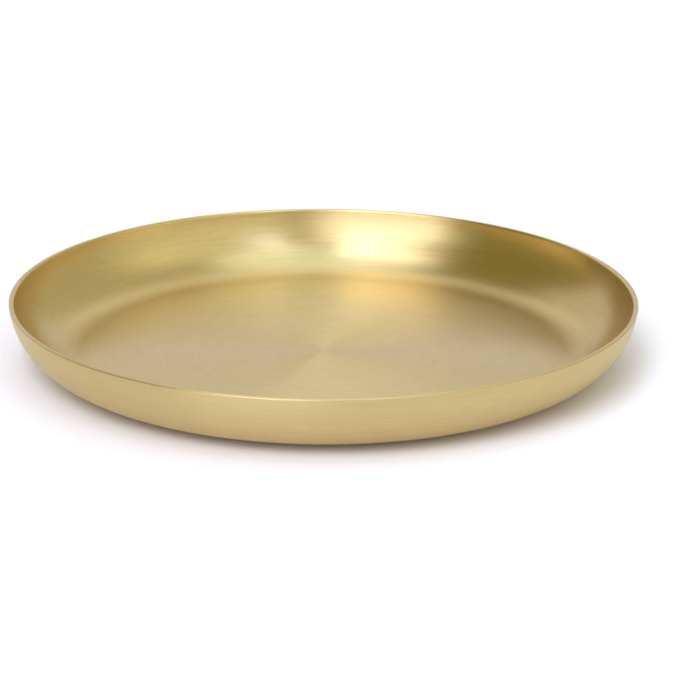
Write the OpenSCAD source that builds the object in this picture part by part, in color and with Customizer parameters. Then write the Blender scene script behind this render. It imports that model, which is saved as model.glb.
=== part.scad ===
// Round serving tray: one disc of brass sheet spun to a flat floor and a curved wall,
// standing on four stick-on bumper feet.
// Millimetres, +Z up. The origin is the middle of the footprint, on the table.

/* [Tray] */
// Width of the tray across its lip
tray_dia = 300; // [230:1:380]
// Height of the metal tray, from the underside of its floor to the top of its lip
tray_h = 30.6; // [28:0.1:44]
// Thickness of the brass sheet
sheet_t = 2.5; // [1.9:0.1:3.2]

/* [Wall] */
// Outside radius of the bend that lifts the floor into the wall
heel_r = 33; // [25:0.5:40]
// Angle that the heel bend turns through before the wall straightens
heel_turn = 66.5; // [58:0.1:72]
// Angle of the wall to the table where it reaches the lip
lip_angle = 80.6; // [76:0.1:86]
// Length of the straight stretch of wall just below the lip's rounding
brim_l = 1; // [0.5:0.1:3]

/* [Lip] */
// Rounding of the cut edge towards the outside
lip_outer_r = 0.4; // [0.2:0.1:0.6]
// Rounding of the cut edge towards the inside
lip_inner_r = 1.2; // [0.7:0.1:1.6]

/* [Feet] */
// Width of each bumper foot
foot_dia = 12; // [8:0.5:20]
// Height of each bumper foot
foot_h = 1.5; // [1:0.1:4]
// Rounding of the lower edge of a foot
foot_edge_r = 0.6; // [0.2:0.1:0.9]
// Distance from the rim of the flat underside in to the nearest edge of a foot
foot_inset = 9; // [4:0.5:30]

/* [Hidden] */
$fn = 180;

// Direction of each foot from the middle, in degrees from +X
rear_right = 45;
rear_left = 135;
front_left = 225;
front_right = 315;

// The wall's radius is worked to this fineness, and the brim takes up the rest of the height
radius_step = 0.01;

// How far the lip's rounded edge stands out from the end of the brim, and up from it
lip_reach = (lip_inner_r - lip_outer_r) * cos(lip_angle) + lip_outer_r * (1 - sin(lip_angle));
lip_rise = (sheet_t - lip_inner_r) * cos(lip_angle) + lip_inner_r;

// The wall's radius follows from the height left between the heel bend and the brim
heel_rise = heel_r * (1 - cos(heel_turn));
bends_h = tray_h - lip_rise - brim_l * sin(lip_angle);
wall_fall = cos(heel_turn) - cos(lip_angle);
wall_r = floor((bends_h - heel_rise) / wall_fall / radius_step) * radius_step;
brim_true_l = (tray_h - lip_rise - heel_rise - wall_r * wall_fall) / sin(lip_angle);

// The flat floor takes what the bends, the brim and the lip leave of the tray's half width
heel_run = heel_r * sin(heel_turn);
wall_run = wall_r * (sin(lip_angle) - sin(heel_turn));
brim_run = brim_true_l * cos(lip_angle);
flat_r = tray_dia / 2 - lip_reach - brim_run - wall_run - heel_run;

// The feet stand on a ring inside the flat part of the underside
foot_ring_r = flat_r - foot_inset - foot_dia / 2;

// The lower half of a disc
module lower_disc(disc_r) {
    intersection() {
        circle(r = disc_r);
        translate([-disc_r, -disc_r]) square([2 * disc_r, disc_r]);
    }
}

// The quarter of a disc between -Y and +X
module lower_right_disc(disc_r) {
    intersection() {
        circle(r = disc_r);
        translate([0, -disc_r]) square(disc_r);
    }
}

// Puts what follows at the heel bend's centre
module at_heel() {
    translate([flat_r, foot_h + heel_r]) children();
}

// Puts what follows at the wall bend's centre, with -Y towards the end of the heel bend
module at_wall() {
    at_heel() rotate(heel_turn) translate([0, wall_r - heel_r]) children();
}

// Puts what follows at the outside corner where the brim starts, with +X up along the brim
module at_brim() {
    at_wall() rotate(lip_angle - heel_turn) translate([0, -wall_r]) children();
}

// Half of the space inside a tray whose surface lies at the given depth in from the
// sheet's outside. The floor, the two bends and the brim overlap, and meet at tangents.
// The wider of the bends stops at their meeting, and the tighter one runs on within it.
module inside(depth) {
    translate([0, foot_h + depth]) square([flat_r, 2 * heel_r - depth]);
    if (wall_r > heel_r) {
        at_heel() lower_disc(heel_r - depth);
        at_wall() lower_right_disc(wall_r - depth);
    } else {
        at_heel() difference() {
            lower_disc(heel_r - depth);
            rotate(heel_turn) translate([0, -heel_r]) square(heel_r);
        }
        at_wall() lower_disc(wall_r - depth);
    }
    at_brim() translate([0, depth]) square([wall_r, wall_r - depth]);
}

// The eased edge in section, past the end of a brim that lies along +X with its outside
// at y = 0: a small round on the outside, a large one on the inside and a flat between
module lip_section() {
    outer_l = lip_inner_r - lip_outer_r;
    square([outer_l, sheet_t - lip_inner_r]);
    translate([outer_l, lip_outer_r]) circle(r = lip_outer_r);
    translate([0, lip_outer_r]) square([lip_inner_r, sheet_t - lip_outer_r - lip_inner_r]);
    translate([0, sheet_t - lip_inner_r]) circle(r = lip_inner_r);
}

// Half of the tray's section, from the middle of its floor out to the lip
module tray_section() {
    difference() {
        inside(0);
        inside(sheet_t);
        at_brim() translate([brim_true_l, 0]) difference() {
            translate([0, -sheet_t]) square([wall_r, 3 * sheet_t]);
            lip_section();
        }
    }
}

module tray_shell() {
    color("goldenrod") rotate_extrude() tray_section();
}

// Half of a foot's section: a disc with its lower edge rounded
module foot_section() {
    sole_r = foot_dia / 2 - foot_edge_r;
    square([sole_r, foot_h]);
    translate([sole_r, foot_edge_r]) lower_right_disc(foot_edge_r);
    translate([sole_r, foot_edge_r]) square([foot_edge_r, foot_h - foot_edge_r]);
}

// One bumper foot under the floor, in the given direction from the middle
module foot(direction) {
    color("dimgray") rotate(direction) translate([foot_ring_r, 0]) rotate_extrude() foot_section();
}

module foot_front_left() { foot(front_left); }
module foot_front_right() { foot(front_right); }
module foot_rear_left() { foot(rear_left); }
module foot_rear_right() { foot(rear_right); }

tray_shell();
foot_front_left();
foot_front_right();
foot_rear_left();
foot_rear_right();
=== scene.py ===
from math import cos, pi, radians, sin

import bpy
import numpy as np
from mathutils import Matrix, Vector


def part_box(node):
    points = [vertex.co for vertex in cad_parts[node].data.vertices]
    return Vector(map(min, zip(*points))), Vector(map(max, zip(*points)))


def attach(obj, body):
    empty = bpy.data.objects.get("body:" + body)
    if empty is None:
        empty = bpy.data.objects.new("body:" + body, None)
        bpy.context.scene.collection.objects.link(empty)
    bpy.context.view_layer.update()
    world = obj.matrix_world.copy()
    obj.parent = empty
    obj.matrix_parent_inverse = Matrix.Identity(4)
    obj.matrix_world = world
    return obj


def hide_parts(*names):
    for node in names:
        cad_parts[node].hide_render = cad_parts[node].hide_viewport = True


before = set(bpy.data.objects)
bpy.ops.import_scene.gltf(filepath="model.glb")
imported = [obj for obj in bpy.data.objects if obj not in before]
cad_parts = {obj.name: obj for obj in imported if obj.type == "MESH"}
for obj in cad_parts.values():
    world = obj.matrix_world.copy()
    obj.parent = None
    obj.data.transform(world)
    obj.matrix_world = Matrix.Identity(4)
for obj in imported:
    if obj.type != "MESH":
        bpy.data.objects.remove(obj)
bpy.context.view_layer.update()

# Tray. One disc of brass sheet, spun over a former on a lathe to a flat floor, a heel bend
# and a wall of one thickness. Its cut edge is eased by hand, and the bare metal is brushed
# in rings with an abrasive pad while it turns.
tray_low, tray_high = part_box("tray_shell")
tray_r = tray_high.x
tray_h = tray_high.z - tray_low.z
sheet_t = 0.0025
heel_r = 0.033
heel_turn = radians(66.5)
wall_r = 0.0355
lip_angle = radians(80.6)
wall_turn = lip_angle - heel_turn
lip_outer_r = 0.0004
lip_inner_r = 0.0012

# The brim and the flat floor take what the bends and the eased edge leave of the tray's
# height and half width
lip_rise = (sheet_t - lip_inner_r) * cos(lip_angle) + lip_inner_r
heel_rise = heel_r * (1 - cos(heel_turn))
wall_rise = wall_r * (cos(heel_turn) - cos(lip_angle))
brim_l = (tray_h - lip_rise - heel_rise - wall_rise) / sin(lip_angle)
heel_run = heel_r * sin(heel_turn)
wall_run = wall_r * (sin(lip_angle) - sin(heel_turn))
lip_outer_l = lip_inner_r - lip_outer_r
lip_reach = lip_outer_l * cos(lip_angle) + lip_outer_r * (1 - sin(lip_angle))
flat_r = tray_r - lip_reach - brim_l * cos(lip_angle) - wall_run - heel_run

# Each stretch of the section is a length, the angle that it turns through, and its steps:
# out along the underside, up the outside, round the edge, and back in over the floor
right_angle = radians(90)
lip_flat = sheet_t - lip_outer_r - lip_inner_r
floor_steps = 12
heel_steps = 30
wall_steps = 8
straight_steps = 2
lip_outer_steps = 6
lip_inner_steps = 12
tray_section = [
    (flat_r, 0, floor_steps),
    (heel_r * heel_turn, heel_turn, heel_steps),
    (wall_r * wall_turn, wall_turn, wall_steps),
    (brim_l + lip_outer_l, 0, straight_steps),
    (lip_outer_r * right_angle, right_angle, lip_outer_steps),
    (lip_flat, 0, straight_steps),
    (lip_inner_r * right_angle, right_angle, lip_inner_steps),
    (brim_l, 0, straight_steps),
    ((wall_r - sheet_t) * wall_turn, -wall_turn, wall_steps),
    ((heel_r - sheet_t) * heel_turn, -heel_turn, heel_steps),
    (flat_r, 0, floor_steps),
]
tray_segments = 720
# Where the section leaves the outside for the edge, and where it meets the floor
edge_length = sum(length for length, turn, steps in tray_section[:4])
floor_length = sum(length for length, turn, steps in tray_section[:-1])


def walk(height, stretches):
    """Points, headings and distances along a section that starts on the axis, heading out.

    The heading turns evenly along each stretch. On one of length L that turns through T,
    a point at heading h lies (sin h - sin h0) L / T further out and (cos h0 - cos h) L / T
    higher than the stretch's start, and on a straight one it lies ahead by its distance.
    """
    points, headings, distances = [np.array([[0.0, height]])], [np.zeros(1)], [np.zeros(1)]
    for length, turn, steps in stretches:
        start, heading, passed = points[-1][-1], headings[-1][-1], distances[-1][-1]
        gone = np.linspace(0, 1, steps + 1)[1:]
        h = heading + turn * gone
        if turn:
            steps_out = (np.sin(h) - sin(heading)) * length / turn
            steps_up = (cos(heading) - np.cos(h)) * length / turn
        else:
            steps_out = gone * length * cos(heading)
            steps_up = gone * length * sin(heading)
        points.append(start + np.stack([steps_out, steps_up], -1))
        headings.append(h)
        distances.append(passed + gone * length)
    return np.concatenate(points), np.concatenate(headings), np.concatenate(distances)


def spin(name, height, stretches, segments, centre=(0, 0)):
    """A closed solid of revolution: the section from walk(), turned about an upright axis.

    A point r from the axis at height z goes to (r cos a, r sin a, z) for angles a all
    round, and both ends of the section close to one point on the axis. The normal at
    heading h is (sin h cos a, sin h sin a, -cos h). The distance along the section is
    kept as the attribute section_length.
    """
    points, heading, distance = walk(height, stretches)
    radius, z = points[1:-1, 0], points[1:-1, 1]
    angle = np.arange(segments) * 2 * pi / segments
    around, up = np.cos(angle), np.sin(angle)
    rings = len(radius)
    place = np.zeros((rings, segments, 3))
    place[..., 0] = centre[0] + radius[:, None] * around
    place[..., 1] = centre[1] + radius[:, None] * up
    place[..., 2] = z[:, None]
    normal = np.zeros((rings, segments, 3))
    normal[..., 0] = np.sin(heading[1:-1, None]) * around
    normal[..., 1] = np.sin(heading[1:-1, None]) * up
    normal[..., 2] = -np.cos(heading[1:-1, None])
    poles = [(*centre, points[0, 1]), (*centre, points[-1, 1])]
    vertices = np.concatenate([place.reshape(-1, 3), poles])
    normals = np.concatenate([normal.reshape(-1, 3), [(0, 0, -1), (0, 0, 1)]])
    lengths = np.append(np.repeat(distance[1:-1], segments), [distance[0], distance[-1]])

    index = np.arange(rings * segments).reshape(rings, segments)
    onward = np.roll(index, -1, axis=1)
    walls = np.stack([index[:-1], onward[:-1], onward[1:], index[1:]], -1).reshape(-1, 4)
    first, last = rings * segments, rings * segments + 1
    start_fan = np.stack([np.full(segments, first), onward[0], index[0]], -1)
    end_fan = np.stack([index[-1], onward[-1], np.full(segments, last)], -1)

    mesh = bpy.data.meshes.new(name)
    faces = walls.tolist() + start_fan.tolist() + end_fan.tolist()
    mesh.from_pydata(vertices.tolist(), [], faces)
    mesh.polygons.foreach_set("use_smooth", np.ones(len(mesh.polygons), bool))
    mesh.normals_split_custom_set_from_vertices(normals.tolist())
    along = mesh.attributes.new("section_length", "FLOAT", "POINT")
    along.data.foreach_set("value", lengths.astype(np.float32))
    piece = bpy.data.objects.new(name, mesh)
    bpy.context.scene.collection.objects.link(piece)
    return piece


def new_material(name):
    """An empty node material with a Principled shader: its node tree and that shader."""
    material = bpy.data.materials.new(name)
    material.use_nodes = True
    return material, material.node_tree, material.node_tree.nodes["Principled BSDF"]


def add_node(tree, kind, inputs=(), **settings):
    """A node of this kind, with its settings, and its inputs set or linked by name or place."""
    made = tree.nodes.new("ShaderNode" + kind)
    for setting, value in settings.items():
        setattr(made, setting, value)
    for key, value in dict(inputs).items():
        if isinstance(value, bpy.types.NodeSocket):
            tree.links.new(value, made.inputs[key])
        else:
            made.inputs[key].default_value = value
    return made.outputs


def spread(tree, value, low, high):
    """The middle part of a noise, 0.3 to 0.7, stretched to run from low to high."""
    return add_node(tree, "MapRange", {
        "Value": value, "From Min": 0.3, "From Max": 0.7, "To Min": low, "To Max": high,
    })["Result"]


def combined(tree, operation, first, second):
    """Two values put together by one operation of arithmetic."""
    return add_node(tree, "Math", {0: first, 1: second}, operation=operation)["Value"]


def brushed_brass():
    """Satin brass with brush lines in rings.

    The noise behind the lines is read at (cos a / A, sin a / A, s / W), where a is the
    angle round the tray, s the distance along its section, A a line's usual length as an
    angle and W its width, so the lines follow the rings over floor, bends and lip alike.
    """
    material, tree, shader = new_material("brushed_brass")
    place = add_node(tree, "TexCoord")["Object"]
    level = add_node(tree, "VectorMath", {0: place, 1: (1, 1, 0)}, operation="MULTIPLY")["Vector"]
    outward = add_node(tree, "VectorMath", {0: level}, operation="NORMALIZE")["Vector"]
    along = add_node(tree, "Attribute", attribute_name="section_length")["Fac"]

    def lines(width, length):
        """Noise drawn out along the rings, with lines of this width and length in angle."""
        steps = combined(tree, "DIVIDE", along, width)
        across = add_node(tree, "CombineXYZ", {"Z": steps})["Vector"]
        turned = add_node(tree, "VectorMath", {
            0: outward, 3: 1 / length,
        }, operation="SCALE")["Vector"]
        spot = add_node(tree, "VectorMath", {0: turned, 1: across}, operation="ADD")["Vector"]
        return add_node(tree, "TexNoise", {
            "Vector": spot, "Scale": 1.0, "Detail": 2.0, "Roughness": 0.6,
        })["Fac"]

    hairs = lines(width=0.0004, length=0.05)
    strokes = lines(width=0.001, length=0.12)
    passes = lines(width=0.005, length=0.6)
    smudges = add_node(tree, "TexNoise", {
        "Vector": place, "Scale": 12.0, "Detail": 3.0, "Roughness": 0.55,
    })["Fac"]

    tone = combined(tree, "ADD", spread(tree, hairs, 0, 0.4), spread(tree, strokes, 0, 0.4))
    tone = combined(tree, "ADD", tone, spread(tree, passes, 0, 0.2))
    colour = add_node(tree, "Mix", {
        "Factor": tone, 6: (0.725, 0.563, 0.288, 1), 7: (0.835, 0.657, 0.352, 1),
    }, data_type="RGBA")[2]
    tree.links.new(colour, shader.inputs["Base Color"])

    # The outside is brushed with a coarser pad than the inside, and the floor with the finest
    outside_rough = 0.36
    wall_change = -0.10
    floor_change = -0.01
    rough_drift = 0.006

    def eased(start, end, change):
        """A change that comes in between two distances along the section."""
        return add_node(tree, "MapRange", {
            "Value": along, "From Min": start, "From Max": end, "To Min": 0.0, "To Max": change,
        }, interpolation_type="SMOOTHSTEP")["Result"]

    pads = combined(tree, "ADD", eased(edge_length, edge_length + sheet_t, wall_change),
                    eased(floor_length, floor_length + heel_r, floor_change))
    rough = combined(tree, "ADD", combined(tree, "ADD", outside_rough, pads),
                     spread(tree, strokes, -rough_drift, rough_drift))
    rough = combined(tree, "ADD", rough, spread(tree, smudges, -rough_drift, rough_drift))
    tree.links.new(rough, shader.inputs["Roughness"])

    line_depth = 0.00001
    relief = combined(tree, "ADD", spread(tree, hairs, 0, 0.3), spread(tree, strokes, 0, 0.7))
    bump = add_node(tree, "Bump", {"Strength": 1.0, "Distance": line_depth, "Height": relief})
    tree.links.new(bump["Normal"], shader.inputs["Normal"])

    rings = add_node(tree, "Tangent", direction_type="RADIAL", axis="Z")["Tangent"]
    tree.links.new(rings, shader.inputs["Tangent"])
    shader.inputs["Metallic"].default_value = 1
    shader.inputs["Anisotropic"].default_value = 0.9
    shader.inputs["Anisotropic Rotation"].default_value = 0.25
    return material


tray = spin("tray", tray_low.z, tray_section, tray_segments)
tray.data.materials.append(brushed_brass())
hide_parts("tray_shell")
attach(tray, "root")


# Feet. Four bumper pads, moulded in black rubber with a flat sole and both edges rounded.
# Each is held under the floor by a disc of adhesive film, a little smaller than the pad.
sole_edge_r = 0.0006
shoulder_r = 0.0003
film_t = 0.00015
film_corner_r = 0.00003
foot_segments = 96


def foot_rubber():
    """Black rubber, matt, with the fine grain of its mould and a little dust."""
    material, tree, shader = new_material("foot_rubber")
    place = add_node(tree, "TexCoord")["Object"]
    grain = add_node(tree, "TexNoise", {"Vector": place, "Scale": 4000.0, "Detail": 2.0})["Fac"]
    dust = add_node(tree, "TexNoise", {"Vector": place, "Scale": 300.0, "Detail": 4.0})["Fac"]
    colour = add_node(tree, "Mix", {
        "Factor": spread(tree, dust, 0, 1),
        6: (0.022, 0.022, 0.023, 1), 7: (0.050, 0.049, 0.047, 1),
    }, data_type="RGBA")[2]
    tree.links.new(colour, shader.inputs["Base Color"])
    tree.links.new(spread(tree, dust, 0.62, 0.80), shader.inputs["Roughness"])
    bump = add_node(tree, "Bump", {"Strength": 1.0, "Distance": 0.00002, "Height": grain})
    tree.links.new(bump["Normal"], shader.inputs["Normal"])
    return material


rubber = foot_rubber()
for name in sorted(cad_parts):
    if not name.startswith("foot_"):
        continue
    foot_low, foot_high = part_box(name)
    middle = (foot_low + foot_high) / 2
    foot_r = (foot_high.x - foot_low.x) / 2
    sole_r = foot_r - sole_edge_r
    foot_h = foot_high.z - foot_low.z
    foot_section = [
        (sole_r, 0, 6),
        (sole_edge_r * right_angle, right_angle, 8),
        (foot_h - sole_edge_r - shoulder_r - film_t, 0, straight_steps),
        (shoulder_r * right_angle, right_angle, 4),
        (film_corner_r * right_angle, -right_angle, 2),
        (film_t - 2 * film_corner_r, 0, 1),
        (film_corner_r * right_angle, right_angle, 2),
        (foot_r - shoulder_r - 2 * film_corner_r, 0, 4),
    ]
    at = (middle.x, middle.y)
    foot = spin(name + "_pad", foot_low.z, foot_section, foot_segments, at)
    foot.data.materials.append(rubber)
    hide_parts(name)
    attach(foot, "root")


# Studio. A white table that runs on as the background, with a pale backdrop, a lit ceiling, a
# tall soft lamp on the left and a screen with a weaker lamp on the right. These are soft-edged
# patches of the world, so they have no stands to show, and one lamp in front lights the table.
table_half = 6.0


def table_paint():
    """Matt white, and whitened further for the camera, and by a part of that for the metal."""
    material, tree, shader = new_material("table_paint")
    shader.inputs["Roughness"].default_value = 1.0
    shader.inputs["Specular IOR Level"].default_value = 0.0
    ray = add_node(tree, "LightPath")
    mirrored = combined(tree, "MULTIPLY", ray["Is Glossy Ray"], 0.2)
    colour = add_node(tree, "Mix", {
        "Factor": combined(tree, "ADD", ray["Is Camera Ray"], mirrored),
        6: (0.74, 0.74, 0.74, 1), 7: (1.00, 1.00, 1.17, 1),
    }, data_type="RGBA")[2]
    tree.links.new(colour, shader.inputs["Base Color"])
    return material


corners = [(-table_half, -table_half, 0), (table_half, -table_half, 0),
           (table_half, table_half, 0), (-table_half, table_half, 0)]
table_mesh = bpy.data.meshes.new("table")
table_mesh.from_pydata(corners, [], [(0, 1, 2, 3)])
table_mesh.materials.append(table_paint())
table = bpy.data.objects.new("table", table_mesh)
bpy.context.scene.collection.objects.link(table)

world = bpy.data.worlds.new("studio")
bpy.context.scene.world = world
world.use_nodes = True
air = world.node_tree
away = add_node(air, "TexCoord")["Generated"]
parts = add_node(air, "SeparateXYZ", {"Vector": away})
in_degrees = 180 / pi
height_angle = combined(air, "MULTIPLY",
                        combined(air, "ARCSINE", parts["Z"], 0), in_degrees)
to_camera = combined(air, "MULTIPLY", parts["Y"], -1)
side_angle = combined(air, "MULTIPLY",
                      combined(air, "ARCTAN2", parts["X"], to_camera), in_degrees)


def ramp(value, start, end):
    """0 at start and 1 at end, with a smooth rise between them."""
    return add_node(air, "MapRange", {
        "Value": value, "From Min": start, "From Max": end,
    }, interpolation_type="SMOOTHSTEP")["Result"]


def patch(colour, side, left, right, low, high):
    """A soft-edged patch of light. Each edge is a pair of angles, where the light is gone and
    where it is full. Left and right turn from the camera's side, low and high rise from level."""
    wide = combined(air, "MULTIPLY", ramp(side, *left), ramp(side, *right))
    tall = combined(air, "MULTIPLY", ramp(height_angle, *low), ramp(height_angle, *high))
    share = combined(air, "MULTIPLY", wide, tall)
    return add_node(air, "VectorMath", {0: colour, 3: share}, operation="SCALE")["Vector"]


all_left, all_right = (-182, -181), (182, 181)
all_low, all_high = (-92, -91), (92, 91)
turn_away = combined(air, "ABSOLUTE", side_angle, 0)
lights = [
    # The room, dark and warm
    patch((0.26, 0.23, 0.08), side_angle, all_left, all_right, all_low, all_high),
    # A paler stretch of it at the back left
    patch((0.37, 0.37, 0.45), side_angle, (-167, -151), (-119, -136), all_low, (50, 34)),
    # A white screen on the right, brighter towards the camera
    patch((0.25, 0.26, 0.25), side_angle, (-6, 10), (169, 151), all_low, (84, 68)),
    patch((0.29, 0.31, 0.27), side_angle, (7, 22), (113, 50), (-40, 22), (86, 72)),
    # A pale spot high on that screen, at the tray's side
    patch((0.26, 0.26, 0.16), side_angle, (60, 82), (112, 96), (20, 38), (64, 50)),
    # The weaker lamp, high on the right
    patch((0.70, 0.81, 1.36), side_angle, (16, 26), (46, 31), (30, 52), (74, 63)),
    # The main lamp, tall, on the left
    patch((1.42, 1.45, 1.64), side_angle, (-56, -39), (13, -11), all_low, (62, 55)),
    # Its brighter upper part, and its left edge, which is wider above the table
    patch((0.46, 0.64, 0.76), side_angle, (-45, -30), (-3, -17), (30, 46), (84, 74)),
    patch((0.45, 0.48, 0.50), side_angle, (-68, -52), (-36, -47), (8, 22), (60, 48)),
    # The backdrop, with a brighter strip just above the table
    patch((0.80, 0.88, 0.95), turn_away, (153, 167), all_right, (15, 39), (74, 67)),
    patch((0.43, 0.44, 0.62), turn_away, (148, 168), all_right, (0, 8), (34, 14)),
    # The ceiling, and a lamp that lights it on the left
    patch((0.64, 0.83, 0.90), side_angle, all_left, all_right, (64, 72), all_high),
    patch((2.20, 1.90, 2.10), side_angle, (-102, -72), (-4, -27), (55, 69), (86, 76)),
]
glow = lights[0]
for light in lights[1:]:
    glow = add_node(air, "VectorMath", {0: glow, 1: light}, operation="ADD")["Vector"]
seen = add_node(air, "LightPath")["Is Camera Ray"]
shown = add_node(air, "Mix", {0: seen, 6: glow, 7: (1, 1, 1, 1)}, data_type="RGBA")[2]
air.links.new(shown, air.nodes["Background"].inputs["Color"])

# A large soft lamp in front, a little left and flagged off the metal, lights the table
lamp_away = 8.0
lamp_side = radians(-20)
lamp_rise = radians(45)
lamp_wide = 4.0
lamp_power = 190
lamp_shade = bpy.data.lights.new("lamp", "AREA")
lamp_shade.shape = "DISK"
lamp_shade.size = lamp_wide
lamp_shade.energy = lamp_power
lamp = bpy.data.objects.new("lamp", lamp_shade)
lamp.visible_glossy = False
level_side = Vector((sin(lamp_side), -cos(lamp_side), 0))
towards = level_side * cos(lamp_rise) + Vector((0, 0, sin(lamp_rise)))
lamp.location = towards * lamp_away
lamp.rotation_euler = towards.to_track_quat("Z", "Y").to_euler()
bpy.context.scene.collection.objects.link(lamp)

# Camera. It looks down on the tray from its front, as the photograph does, with a long lens
# and the tray's middle a little left of and above the frame's.
camera_away = 1.5
camera_rise = radians(18.2)
camera_roll = radians(0.26)
frame_px = 680
lens_px = 3125.5
middle_px = (323.4, 325.4)

aim = Vector((0, 0, (tray_low.z + tray_high.z) / 2))
ahead = Vector((0, cos(camera_rise), -sin(camera_rise)))
right = Vector((1, 0, 0))
up = right.cross(ahead)
rolled_right = right * cos(camera_roll) + up * sin(camera_roll)
rolled_up = up * cos(camera_roll) - right * sin(camera_roll)
axes = Matrix((rolled_right, rolled_up, -ahead)).transposed()
camera_data = bpy.data.cameras.new("camera")
camera_data.sensor_width = 36
camera_data.lens = lens_px / frame_px * camera_data.sensor_width
camera_data.shift_x = (frame_px / 2 - middle_px[0]) / frame_px
camera_data.shift_y = (middle_px[1] - frame_px / 2) / frame_px
camera_data.clip_end = 50
camera = bpy.data.objects.new("camera", camera_data)
camera.matrix_world = Matrix.Translation(aim - ahead * camera_away) @ axes.to_4x4()
bpy.context.scene.collection.objects.link(camera)
bpy.context.scene.camera = camera
bpy.context.scene.view_settings.view_transform = "Standard"

bpy.context.view_layer.update()
